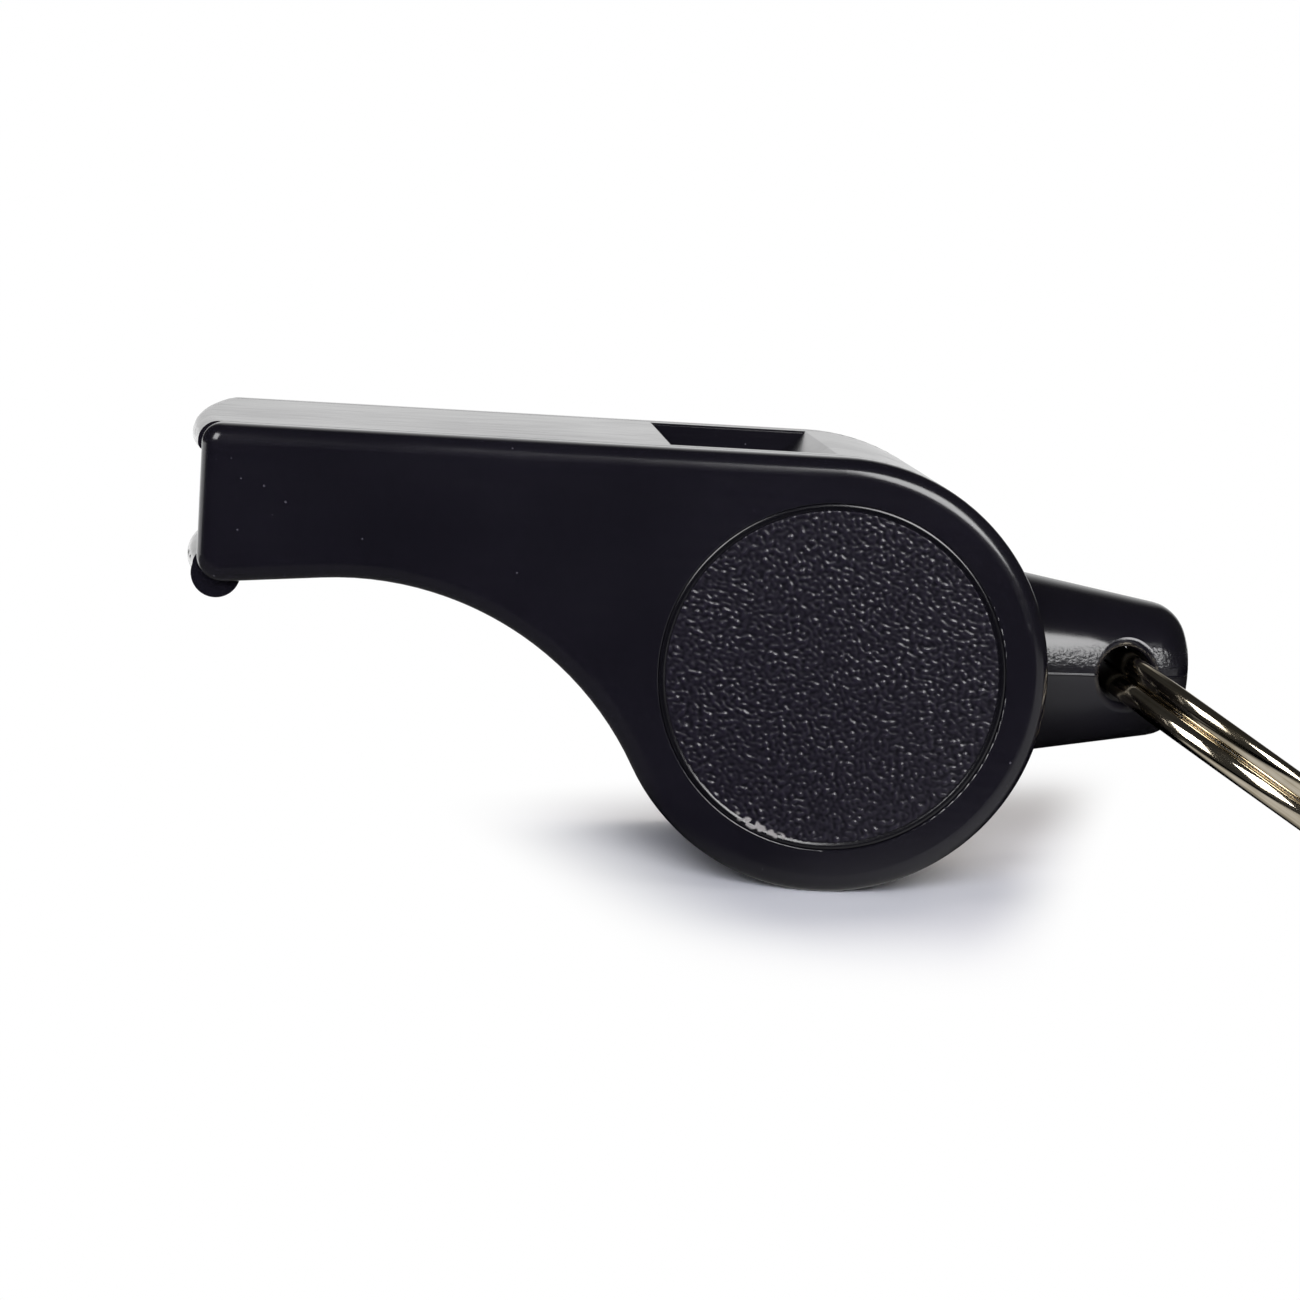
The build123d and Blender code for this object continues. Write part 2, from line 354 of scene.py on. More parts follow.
    def tail_masks(self, tree: NodeTree, place: NodeSocket) -> list[NodeSocket]:
        """Adds masks of the tail's satin lower half, of its grained strip and of its parting line.

        Each is a ramp of the height over the parting line, times a ramp that starts at the tail.

        Args:
            tree: node tree of the material.
            place: Object coordinates.

        Returns:
            Sockets of the three masks.
        """
        split = add_node(tree, "SeparateXYZ", links={"Vector": place})
        tail = add_node(tree, "MapRange", values={"From Min": self.tail_start_mm * MM,
                                "From Max": (self.tail_start_mm + self.tail_blend_mm) * MM},
                        links={"Value": split.outputs["X"]})
        height = add_node(tree, "Math", {"operation": "SUBTRACT"},
                          {1: self.parting_height_mm * MM}, {0: split.outputs["Z"]})
        middle = add_node(tree, "Math", {"operation": "SUBTRACT"},
                          {1: self.strip_height_mm / 2 * MM}, {0: height.outputs["Value"]})
        off_line, off_strip = (
            add_node(tree, "Math", {"operation": "ABSOLUTE"}, links={0: node.outputs["Value"]})
            for node in (height, middle))
        ramps = ((height, self.satin_blend_mm, -self.satin_blend_mm),
                 (off_strip, self.strip_height_mm / 2, self.strip_height_mm / 8),
                 (off_line, self.parting_width_mm, 0.0))
        masks = []
        for node, none_mm, full_mm in ramps:
            ramp = add_node(tree, "MapRange", {"interpolation_type": "SMOOTHSTEP"},
                            {"From Min": none_mm * MM, "From Max": full_mm * MM},
                            {"Value": node.outputs["Value"]})
            mask = add_node(tree, "Math", {"operation": "MULTIPLY"},
                            links={0: tail.outputs["Result"], 1: ramp.outputs["Result"]})
            masks.append(mask.outputs["Value"])
        return masks


@dataclass(frozen=True)
class GrainedAbs:
    """Black ABS from a spark-eroded mould: satin grain whose slopes glint, inside a polished border.

    A little pale dirt is left where the grain meets the border.
    """

    # colours of the pits and of the tops: the darker pits are painted shade, the lighter tops are wear
    colour: str = "#0a090d"
    top_colour: str = "#1b1722"
    dirt_colour: str = "#837f7b"
    roughness: float = 0.3
    border_roughness: float = 0.2
    dirt_roughness: float = 0.8
    ior: float = 1.52
    pit_shade_gloss: float = 0.15  # painted shade: less gloss in the pits than on the tops, since light is lost in the pits
    top_gloss: float = 0.5
    pit_grain: float = 0.1  # share of the grain's height where the pits end, and where the tops begin
    top_grain: float = 0.55

    def material(self) -> Material:
        """Builds the material, which reads the disc's own grain, border and dirt.

        Returns:
            The material.
        """
        material, tree, shader = new_material("grained black ABS")
        grain, border, dirt = (
            add_node(tree, "Attribute", {"attribute_name": name}).outputs["Fac"]
            for name in ("grain", "border", "dirt"))
        # darker in the pits and lighter on the tops: wear on the tops, and painted shade in the pits
        shade = add_node(tree, "Mix", {"data_type": "RGBA"},
                         {6: linear_colour(self.colour), 7: linear_colour(self.top_colour)}, {0: grain})
        dirty = add_node(tree, "Mix", {"data_type": "RGBA"}, {7: linear_colour(self.dirt_colour)},
                         {0: dirt, 6: shade.outputs[2]})
        tree.links.new(dirty.outputs[2], shader.inputs["Base Color"])
        satin = add_node(tree, "Mix", {"data_type": "FLOAT"},
                         {2: self.roughness, 3: self.border_roughness}, {0: border})
        dull = add_node(tree, "Mix", {"data_type": "FLOAT"}, {3: self.dirt_roughness},
                        {0: dirt, 2: satin.outputs[0]})
        tree.links.new(dull.outputs[0], shader.inputs["Roughness"])
        # painted shade: the gloss falls in the pits of the grain
        high = add_node(tree, "Math", {"operation": "MAXIMUM"}, links={0: grain, 1: border})
        gloss = add_node(tree, "MapRange", values={"From Min": self.pit_grain, "From Max": self.top_grain,
                                 "To Min": self.pit_shade_gloss, "To Max": self.top_gloss},
                         links={"Value": high.outputs["Value"]})
        tree.links.new(gloss.outputs["Result"], shader.inputs["Specular IOR Level"])
        shader.inputs["IOR"].default_value = self.ior
        return material


@dataclass(frozen=True)
class NickelWire:
    """Drawn spring steel with bright nickel plating: a warm mirror with faint lines along the wire.

    The stretch inside the tail's hole is painted dark and dull: painted shade, where the hole's walls shade
    the wire.
    """

    colour: str = "#e3d9c6"
    worn_colour: str = "#b3a68d"
    hole_shade_colour: str = "#1d1712"
    roughness: float = 0.06
    worn_roughness: float = 0.16
    hole_shade_roughness: float = 0.55
    line_mm: float = 0.12  # real ones are finer, and these are as coarse as they need to be to show
    line_length: float = 60.0  # times its width
    line_depth_mm: float = 0.01
    line_strength: float = 0.06
    rub_mm: float = 1.4
    least_wear: float = 0.12  # lines times rubs where the wear starts, and where it is whole
    most_wear: float = 0.42

    def material(self) -> Material:
        """Builds the material, whose lines follow the wire's own map in millimetres.

        Returns:
            The material.
        """
        material, tree, shader = new_material("nickel-plated steel wire")
        along = add_node(tree, "UVMap", {"uv_map": "wire"})
        lanes = add_node(tree, "Mapping", values={"Scale": (1 / self.line_length, 1.0, 1.0)},
                         links={"Vector": along.outputs["UV"]})
        lines = add_node(tree, "TexNoise", {"noise_dimensions": "2D"},
                         {"Scale": 1 / self.line_mm, "Detail": 3.0}, {"Vector": lanes.outputs["Vector"]})
        place = add_node(tree, "TexCoord").outputs["Object"]
        rubs = add_node(tree, "TexNoise",
                        values={"Scale": 1 / (self.rub_mm * MM), "Detail": 4.0}, links={"Vector": place})
        wear = add_node(tree, "Math", {"operation": "MULTIPLY"},
                        links={0: lines.outputs["Fac"], 1: rubs.outputs["Fac"]})
        worn = add_node(tree, "MapRange", values={"From Min": self.least_wear, "From Max": self.most_wear},
                        links={"Value": wear.outputs["Value"]})
        shade = add_node(tree, "Mix", {"data_type": "RGBA"},
                         {6: linear_colour(self.colour), 7: linear_colour(self.worn_colour)},
                         {0: worn.outputs["Result"]})
        # painted shade: the wire is darkened and dulled where it lies inside the hole
        hole_shade = add_node(tree, "Attribute", {"attribute_name": "hole_shade"}).outputs["Fac"]
        hole_shaded = add_node(tree, "Mix", {"data_type": "RGBA"},
                         {7: linear_colour(self.hole_shade_colour)}, {0: hole_shade, 6: shade.outputs[2]})
        tree.links.new(hole_shaded.outputs[2], shader.inputs["Base Color"])
        dull = add_node(tree, "MapRange", values={"To Min": self.roughness, "To Max": self.worn_roughness},
                        links={"Value": worn.outputs["Result"]})
        hole_shaded_roughness = add_node(tree, "Mix", {"data_type": "FLOAT"}, {3: self.hole_shade_roughness},
                         {0: hole_shade, 2: dull.outputs["Result"]})
        tree.links.new(hole_shaded_roughness.outputs[0], shader.inputs["Roughness"])
        shader.inputs["Metallic"].default_value = 1.0
        bump = add_node(tree, "Bump",
                        values={"Strength": self.line_strength, "Distance": self.line_depth_mm * MM},
                        links={"Height": lines.outputs["Fac"]})
        tree.links.new(bump.outputs["Normal"], shader.inputs["Normal"])
        return material


@dataclass(frozen=True)
class GroundCork:
    """Natural cork ground to a ball: pale tan cells, darker growth lines and brown pores."""

    colour: str = "#c49a6c"
    dark_colour: str = "#8f6238"
    pore_colour: str = "#4a2d17"
    roughness: float = 0.85
    cell_mm: float = 0.7  # clumps, because single cells are too fine to show
    cell_depth_mm: float = 0.05
    cell_strength: float = 0.4
    pore_mm: float = 1.5
    pore_full: float = 0.12  # reach of a pore's dark middle, and of its edge, as shares of its cell
    pore_end: float = 0.26
    line_mm: float = 2.2

    def material(self) -> Material:
        """Builds the material.

        Returns:
            The material.
        """
        material, tree, shader = new_material("ground cork")
        place = add_node(tree, "TexCoord").outputs["Object"]
        cells = add_node(tree, "TexNoise",
                         values={"Scale": 1 / (self.cell_mm * MM), "Detail": 6.0}, links={"Vector": place})
        lines = add_node(tree, "TexWave",
                         values={"Scale": 0.5 / (self.line_mm * MM), "Distortion": 6.0, "Detail": 3.0},
                         links={"Vector": place})
        blend = add_node(tree, "Math", {"operation": "MULTIPLY"},
                         links={0: cells.outputs["Fac"], 1: lines.outputs["Fac"]})
        shade = add_node(tree, "Mix", {"data_type": "RGBA"},
                         {6: linear_colour(self.colour), 7: linear_colour(self.dark_colour)},
                         {0: blend.outputs["Value"]})
        pores = add_node(tree, "TexVoronoi", values={"Scale": 1 / (self.pore_mm * MM)},
                         links={"Vector": place})
        pit = add_node(tree, "MapRange", values={"From Min": self.pore_full, "From Max": self.pore_end,
                               "To Min": 1.0, "To Max": 0.0}, links={"Value": pores.outputs["Distance"]})
        pitted = add_node(tree, "Mix", {"data_type": "RGBA"}, {7: linear_colour(self.pore_colour)},
                          {0: pit.outputs["Result"], 6: shade.outputs[2]})
        tree.links.new(pitted.outputs[2], shader.inputs["Base Color"])
        bump = add_node(tree, "Bump",
                        values={"Strength": self.cell_strength, "Distance": self.cell_depth_mm * MM},
                        links={"Height": cells.outputs["Fac"]})
        tree.links.new(bump.outputs["Normal"], shader.inputs["Normal"])
        shader.inputs["Roughness"].default_value = self.roughness
        return material


def band_noise(seed: int, side_mm: float, cells: int, wave_mm: float, spread: float = 0.35) -> np.ndarray:
    """Makes a square, repeating field of noise with waves of about one length.

    White noise is taken to its spectrum, multiplied by a bell round the wave number, and taken back.

    Args:
        seed: seed of the noise.
        side_mm: side of the square.
        cells: cells along a side.
        wave_mm: middle wave length.
        spread: half width of the bell, as a share of the wave number.

    Returns:
        The field, with a mean of zero and a spread of one.
    """
    noise = np.random.default_rng(seed).standard_normal((cells, cells))
    steps = np.fft.fftfreq(cells, side_mm / cells)
    wave_number = np.hypot(steps[:, None], steps[None, :]) * wave_mm
    bell = np.exp(-(((wave_number - 1) / spread) ** 2))
    field = np.real(np.fft.ifft2(np.fft.fft2(noise) * bell))
    return (field - field.mean()) / field.std()


def sample_field(field: np.ndarray, side_mm: float, across: np.ndarray, up: np.ndarray) -> np.ndarray:
    """Reads a repeating field at points, blending its four nearest cells.

    Args:
        field: square field.
        side_mm: side of the square.
        across: first places in millimetres.
        up: second places in millimetres.

    Returns:
        The field's value at each point.
    """
    cells = len(field)
    first, second = across / side_mm * cells, up / side_mm * cells
    low_first, low_second = np.floor(first).astype(int), np.floor(second).astype(int)
    part_first, part_second = first - low_first, second - low_second
    next_first, next_second = (low_first + 1) % cells, (low_second + 1) % cells
    low_first, low_second = low_first % cells, low_second % cells
    low = field[low_first, low_second] * (1 - part_second) + field[low_first, next_second] * part_second
    high = field[next_first, low_second] * (1 - part_second) + field[next_first, next_second] * part_second
    return low * (1 - part_first) + high * part_first


@dataclass
class GripDisc:
    """Grained disc with a raised round border, which lies in the recess of a side plate."""

    side: Side
    cells: int = 300
    grain_mm: float = 0.37
    grain_spread: float = 0.75
    grain_depth_mm: float = 0.0113
    grain_skew: float = 0.42
    grain_stretch: float = 1.2
    grain_lean: float = -25.0  # degrees from the tail's side, up, along which the grain is stretched
    grain_level_mm: float = 0.05  # middle of the grain below the top of the border
    border_mm: float = 0.34
    border_height_mm: float = 0.07
    fade_mm: float = 0.06
    fit_mm: float = 0.045  # how far the border reaches out to the wall of the recess
    field_side_mm: float = 18.0
    field_cells: int = 720
    dirt_angle: float = -113.0  # degrees from the tail's side, up
    dirt_spread: float = 9.0
    dirt_foot_mm: float = 0.16
    dirt_lump_mm: float = 0.5
    dirt_lump_spread: float = 0.6
    dirt_gain: float = 3.0
    dirt_lift: float = 1.2  # added to the lumps, so that more than their tops show
    grain_seed: int = 11  # seeds of the right disc; each of the left one's is the next number
    dirt_seed: int = 41

    def heights(self, across: np.ndarray, up: np.ndarray) -> np.ndarray:
        """Works out the grain: band noise, stretched, whose high side is drawn out to sharper tops.

        Args:
            across: places along X in millimetres.
            up: places along Z in millimetres.

        Returns:
            Heights in millimetres about zero.
        """
        seed = self.grain_seed + (self.side is Side.LEFT)
        waves = band_noise(seed, self.field_side_mm, self.field_cells, self.grain_mm, self.grain_spread)
        tops = np.exp(self.grain_skew * waves)
        tops = (tops - tops.mean()) / tops.std()
        lean = math.radians(self.grain_lean)
        along = (across * math.cos(lean) + up * math.sin(lean)) / self.grain_stretch
        aside = up * math.cos(lean) - across * math.sin(lean)
        return sample_field(tops, self.field_side_mm, along, aside) * self.grain_depth_mm

    def dirt(self, across: np.ndarray, up: np.ndarray, inside: np.ndarray) -> np.ndarray:
        """Works out the dirt: lumps of band noise in a short stretch of the border's inner foot.

        Args:
            across: places along X in millimetres.
            up: places along Z in millimetres.
            inside: distances in from the border's inner foot, in millimetres.

        Returns:
            Shares from zero to one.
        """
        seed = self.dirt_seed + (self.side is Side.LEFT)
        field = band_noise(seed, self.field_side_mm, self.field_cells, self.dirt_lump_mm,
                           self.dirt_lump_spread)
        lumps = sample_field(field, self.field_side_mm, across, up)
        angle = np.degrees(np.arctan2(up, across))
        stretch = np.exp(-(((angle - self.dirt_angle) / self.dirt_spread) ** 2))
        foot = np.exp(-((inside / self.dirt_foot_mm) ** 2))
        return np.clip(self.dirt_gain * (lumps + self.dirt_lift) * stretch * foot - 1.0, 0, 1)

    def spread(self, radius: float) -> tuple[np.ndarray, np.ndarray, np.ndarray]:
        """Presses a square grid into a circle.

        A square's rings become circles: a point whose larger coordinate is the first keeps it as its
        radius, and its second over its first, times an eighth of a turn, is its angle.

        Args:
            radius: radius of the circle.

        Returns:
            Places across, places up and distances from the middle.
        """
        steps = np.linspace(-1, 1, self.cells)
        first, second = (axis.ravel() for axis in np.meshgrid(steps, steps, indexing="ij"))
        first_leads = np.abs(first) >= np.abs(second)
        lead = np.where(first_leads, first, second)
        safe = np.where(lead == 0, 1.0, lead)
        turn = np.where(first_leads, second / safe * math.pi / 4, math.pi / 2 - first / safe * math.pi / 4)
        return lead * np.cos(turn) * radius, lead * np.sin(turn) * radius, np.abs(lead) * radius

    def levels(self, grain: np.ndarray, inside: np.ndarray) -> tuple[np.ndarray, np.ndarray]:
        """Works out the face's height against the top of its border, and where it is grained.

        The border's section is the arc through its two feet and its top.

        Args:
            grain: grain heights in millimetres.
            inside: distances in from the border's inner foot, in millimetres.

        Returns:
            Heights in millimetres, and shares of grain.
        """
        half, tall = self.border_mm / 2, self.border_height_mm
        arc = (half**2 + tall**2) / (2 * tall)
        off_top = np.clip(np.abs(inside + half), 0, half)
        border = np.sqrt(arc**2 - off_top**2) - arc
        fade = np.clip(inside / self.fade_mm, 0, 1)
        field = (grain - self.grain_level_mm) * fade - tall * (1 - fade)
        return np.where(inside > 0, np.minimum(field, 0), border), fade

    def build(self, material: Material) -> Object:
        """Builds the disc: a face with its grain and border, a wall and a back.

        Args:
            material: finish of the disc.

        Returns:
            The piece, which stands for the CAD disc.
        """
        node = f"{self.side.word}_grip_disc"
        low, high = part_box(node)
        centre = (low + high) / 2
        radius = (high.x - low.x) / 2 + self.fit_mm * MM
        across, up, reach = self.spread(radius)
        grain = self.heights(across / MM, up / MM)
        inside = radius / MM - self.border_mm - reach / MM
        level, fade = self.levels(grain, inside)
        face_y, back_y = (low.y, high.y) if self.side is Side.RIGHT else (high.y, low.y)
        depth = face_y + self.side.value * level * MM
        points = np.stack([centre.x + across, depth, centre.z + up], axis=1)
        count = len(points)
        numbers = np.arange(count).reshape(self.cells, self.cells)
        rim = np.concatenate([numbers[0, :-1], numbers[:-1, -1], numbers[-1, :0:-1], numbers[:0:-1, 0]])
        back_rim = count + np.arange(len(rim))
        back = points[rim]
        back[:, 1] = back_y
        points = np.concatenate([points, back, [[centre.x, back_y, centre.z]]])
        wall = np.stack([rim, back_rim, np.roll(back_rim, -1), np.roll(rim, -1)], axis=1)
        groups = [grid_faces(self.cells, self.cells, False), wall,
                  fan_faces(back_rim, count + len(rim), turned=True)]
        if self.side is Side.LEFT:
            groups = [group[:, ::-1] for group in groups]
        piece = mesh_piece(f"{self.side.word}_grained_disc", points, groups)
        # The grain's share is a half at its middle level, and one at twice its depth above.
        shares = {
            "grain": np.clip(0.5 + grain / (4 * self.grain_depth_mm), 0, 1) * fade,
            "border": 1 - fade,
            "dirt": self.dirt(across / MM, up / MM, inside),
        }
        for name, share in shares.items():
            shown = np.zeros(len(points), np.float32)
            shown[:count] = share
            piece.data.attributes.new(name, "FLOAT", "POINT").data.foreach_set("value", shown)
        dress(piece, material)
        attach(piece, "whistle")
        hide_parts(node)
        return piece


@dataclass
class SplitRing:
    """Ring of wire that is wound nearly twice round, from its upper turn by a step to its lower turn.

    Each turn's section is drawn out towards the other turn, which it nearly touches.
    """

    ring_radius_mm: float = 9.4
    wire_radius_mm: float = 0.5
    half_pitch_mm: float = 0.725
    step_middle_deg: float = 90.0
    step_deg: float = 50.0
    end_deg: float = 8.0
    end_round_mm: float = 0.12
    fullness_mm: float = 0.224
    hole_shade_reach_mm: float = 3.3  # how far the painted shade of the hole reaches from the middle of the hole
    hole_shade_blend_mm: float = 0.6
    rows: int = 520
    columns: int = 28

    def path(self) -> tuple[np.ndarray, np.ndarray, np.ndarray, np.ndarray]:
        """Middle line of the wire: a circle whose height falls along half a cosine in the step.

        Returns:
            Points in metres, headings, outward directions and heights from minus one to one, along the wire.
        """
        mount = next(item for item in frame["record"]["mounts"] if item["name"] == "lanyard_ring")
        centre, normal = Vector(mount["pos_m"]), Vector(mount["axis"]).normalized()
        across = Vector((0.0, 1.0, 0.0))
        along = across.cross(normal)
        turn = 360 - self.step_deg - self.end_deg
        first = self.step_middle_deg - self.step_deg / 2 - turn
        last = self.step_middle_deg + self.step_deg / 2 + turn
        angle = np.radians(np.linspace(first, last, self.rows))
        share = np.clip((np.degrees(angle) - self.step_middle_deg) / self.step_deg + 0.5, 0, 1)
        turn_side = np.cos(share * math.pi)
        height = turn_side * self.half_pitch_mm * MM
        radius = self.ring_radius_mm * MM
        basis = np.array([along, across, normal])
        circle = np.stack([radius * np.cos(angle), radius * np.sin(angle), height], 1)
        points = np.array(centre) + circle @ basis
        headings = np.gradient(points, axis=0)
        headings /= np.linalg.norm(headings, axis=1, keepdims=True)
        outward = np.stack([np.cos(angle), np.sin(angle), np.zeros(self.rows)], 1) @ basis
        outward -= headings * np.sum(outward * headings, axis=1, keepdims=True)
        outward /= np.linalg.norm(outward, axis=1, keepdims=True)
        return points, headings, outward, turn_side

    def build(self, material: Material) -> Object:
        """Builds the wire: a circle carried along the path, fuller on one side and drawn in at its ends.

        Args:
            material: finish of the wire.

        Returns:
            The piece, which stands for the CAD ring.
        """
        points, headings, outward, turn_side = self.path()
        sideways = np.cross(headings, outward)
        run = np.concatenate([[0.0], np.cumsum(np.linalg.norm(np.diff(points, axis=0), axis=1))]) / MM
        wire = self.wire_radius_mm
        from_end = np.minimum(run, run[-1] - run)
        rounding = np.clip(from_end / self.end_round_mm, 0, 1)
        section = wire - self.end_round_mm * (1 - np.sqrt(1 - (1 - rounding) ** 2))
        turn = np.linspace(0, 2 * math.pi, self.columns, endpoint=False)
        out, aside = np.cos(turn)[None, :] * section[:, None], np.sin(turn)[None, :] * section[:, None]
        aside = aside * (1 + self.fullness_mm / wire * np.clip(turn_side[:, None] * np.sign(aside), 0, 1))
        offset = out[:, :, None] * outward[:, None, :] + aside[:, :, None] * sideways[:, None, :]
        shell = points[:, None, :] + offset * MM
        vertices = np.concatenate([shell.reshape(-1, 3), points[[0, -1]]])
        count = self.rows * self.columns
        first_row = np.arange(self.columns)
        last_row = first_row + count - self.columns
        groups = [grid_faces(self.rows, self.columns, True)[:, ::-1], fan_faces(first_row, count),
                  fan_faces(last_row, count + 1, turned=True)]
        piece = mesh_piece("split_ring_wire", vertices, groups)
        self.map_wire(piece, run)
        joints = frame["record"]["behaviour"]["joints"]
        hole = np.array(next(item for item in joints if item["name"] == "ring_swing")["pos_m"])
        from_hole = np.linalg.norm(vertices - hole, axis=1) / MM
        # painted shade: a share that rises towards the middle of the hole, where the hole shades the wire
        hole_shade = np.clip((self.hole_shade_reach_mm - from_hole) / self.hole_shade_blend_mm + 0.5, 0, 1)
        shown = hole_shade.astype(np.float32)
        piece.data.attributes.new("hole_shade", "FLOAT", "POINT").data.foreach_set("value", shown)
        dress(piece, material)
        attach(piece, "ring")
        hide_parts("split_ring")
        return piece

    def map_wire(self, piece: Object, run: np.ndarray) -> None:
        """Lays a map on the wire: millimetres along it, and millimetres round it.

        Args:
            piece: the wire.
            run: millimetres along the wire at each row.
        """
        mesh = piece.data
        corners = np.empty(len(mesh.loops), np.int32)
        mesh.loops.foreach_get("vertex_index", corners)
        along = np.concatenate([np.repeat(run, self.columns), run[[0, -1]]])
        turn_mm = 2 * math.pi * self.wire_radius_mm / self.columns
        around = np.concatenate([np.tile(np.arange(self.columns), self.rows) * turn_mm, [0.0, 0.0]])
        layer = mesh.uv_layers.new(name="wire")
        places = np.stack([along[corners], around[corners]], 1)
        layer.data.foreach_set("uv", places.astype(np.float32).ravel())


@dataclass
class CorkPea:
    """Loose cork ball in the sound chamber."""

    rows: int = 97
    columns: int = 192
    dent_mm: float = 0.05
    dent_wave_mm: float = 2.4
    field_side_mm: float = 24.0
    field_cells: int = 240
    field_shift_mm: float = 7.0  # between the three readings of the field
    seed: int = 31

    def build(self, material: Material) -> Object:
        """Builds the ball: a sphere by latitude and longitude, with shallow dents of band noise.

        Args:
            material: finish of the ball.

        Returns:
            The piece, which stands for the CAD ball.
        """
        low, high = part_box("pea")
        centre, radius = np.array((low + high) / 2), (high.x - low.x) / 2
        latitude = np.linspace(-math.pi / 2, math.pi / 2, self.rows)[1:-1, None]
        longitude = np.linspace(0, 2 * math.pi, self.columns, endpoint=False)[None, :]
        ball = np.stack([np.cos(latitude) * np.cos(longitude), np.cos(latitude) * np.sin(longitude),
                         np.sin(latitude) + 0 * longitude], axis=2).reshape(-1, 3)
        side = self.field_side_mm
        field = band_noise(self.seed, side, self.field_cells, self.dent_wave_mm)
        spread = ball * radius / MM
        dents = sum(sample_field(field, side, spread[:, a] + self.field_shift_mm * a, spread[:, b])
                    for a, b in ((0, 1), (1, 2), (2, 0)))
        dents = (dents - dents.max()) / (dents.max() - dents.min())
        points = centre + ball * (radius + dents[:, None] * self.dent_mm * MM)
        poles = centre + np.array([[0, 0, -1], [0, 0, 1]]) * (radius - self.dent_mm * MM)
        rows = self.rows - 2
        count = rows * self.columns
        bottom = np.arange(self.columns)
        groups = [grid_faces(rows, self.columns, True), fan_faces(bottom, count, turned=True),
                  fan_faces(bottom + count - self.columns, count + 1)]
        piece = mesh_piece("cork_ball", np.concatenate([points, poles]), groups)
        dress(piece, material)
        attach(piece, "pea")
        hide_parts("pea")
        return piece


@dataclass(frozen=True)
class Camera:
    """Camera of the photograph: its target, its angles in degrees and its distance."""

    target_mm: tuple[float, float, float] = (-8.369, 0.0, 10.592)
    azimuth: float = -4.175
    elevation: float = 7.277
    roll: float = 3.5
    distance_mm: float = 201.02
    focal_pixels: float = 3828.14
    clip_mm: tuple[float, float] = (10.0, 20000.0)

    def build(self) -> Object:
        """Places the camera and makes it the scene's.

        Returns:
            The camera.
        """
        turn, roll = math.radians(self.azimuth), math.radians(self.roll)
        back = direction(self.azimuth, self.elevation)
        right = Vector((math.cos(turn), math.sin(turn), 0.0))
        up = back.cross(right)
        tilted_right = right * math.cos(roll) + up * math.sin(roll)
        tilted_up = up * math.cos(roll) - right * math.sin(roll)
        data = bpy.data.cameras.new("camera")
        data.sensor_width = SENSOR_WIDTH
        data.lens = self.focal_pixels / IMAGE_SIDE * SENSOR_WIDTH
        data.clip_start, data.clip_end = (length * MM for length in self.clip_mm)
        camera = bpy.data.objects.new("camera", data)
        bpy.context.scene.collection.objects.link(camera)
        matrix = Matrix((tilted_right, tilted_up, back)).transposed().to_4x4()
        matrix.translation = Vector(self.target_mm) * MM + back * self.distance_mm * MM
        camera.matrix_world = matrix
        bpy.context.scene.camera = camera
        return camera


class LampUse(Enum):
    """What a soft box lights: the whistle's highlights, or matt surfaces and their shadows."""

    GLOSS = "gloss"
    MATT = "matt"


@dataclass(frozen=True)
class Lamp:
    """Soft box: an area lamp that looks at the whistle."""

    name: str
    use: LampUse
    azimuth: float  # degrees to the right of the front
    elevation: float
    distance_mm: float
    width_mm: float
    height_mm: float
    power: float  # watts
    colour: str = "#ffffff"
    aim_height_mm: float = 11.0

    def build(self) -> Object:
        """Places the lamp.

        Returns:
            The lamp.
        """
        back = direction(self.azimuth, self.elevation)
        data = bpy.data.lights.new(self.name, "AREA")
        data.shape = "RECTANGLE"
        data.size, data.size_y = self.width_mm * MM, self.height_mm * MM
        data.energy = self.power
        data.color = linear_colour(self.colour)[:3]
        lamp = bpy.data.objects.new(self.name, data)
        bpy.context.scene.collection.objects.link(lamp)
        lamp.location = Vector((0.0, 0.0, self.aim_height_mm * MM)) + back * self.distance_mm * MM
        lamp.rotation_euler = (-back).to_track_quat("-Z", "Y").to_euler()
        lamp.visible_camera = False
        lamp.visible_glossy = self.use is LampUse.GLOSS
        lamp.visible_diffuse = self.use is LampUse.MATT
        return lamp


@dataclass(frozen=True)
class TableRamp:
    """Smooth ramp along one direction on the table, from none at one length to full at another."""

    x_part: float  # the direction's share along X, and along Y
    y_part: float
    none_mm: float
    full_mm: float

    def add_to(self, tree: NodeTree, place: NodeSocket, full: float = 1.0) -> NodeSocket:
        """Adds the ramp to a material.

        Args:
            tree: node tree of the material.
            place: Object coordinates.
            full: value where the ramp is full.

        Returns:
            Socket of the ramp's value.
        """
        along = add_node(tree, "VectorMath", {"operation": "DOT_PRODUCT"},
                         {1: (self.x_part, self.y_part, 0.0)}, {0: place})
        ramp = add_node(tree, "MapRange", {"interpolation_type": "SMOOTHSTEP"},
                        {"From Min": self.none_mm * MM, "From Max": self.full_mm * MM, "To Max": full},
                        {"Value": along.outputs["Value"]})
        return ramp.outputs["Result"]


@dataclass(frozen=True)
class TableArea:
    """Soft-edged area of the table: a value times the product of the ramps that end it."""

    ramps: tuple[TableRamp, ...]
    value: float = 1.0

    def add_to(self, tree: NodeTree, place: NodeSocket) -> NodeSocket:
        """Adds the area to a material.

        Args:
            tree: node tree of the material.
            place: Object coordinates.

        Returns:
            Socket of the area's value.
        """
        product = self.ramps[0].add_to(tree, place, self.value)
        for ramp in self.ramps[1:]:
            both = add_node(tree, "Math", {"operation": "MULTIPLY"},
                            links={0: product, 1: ramp.add_to(tree, place)})
            product = both.outputs["Value"]
        return product


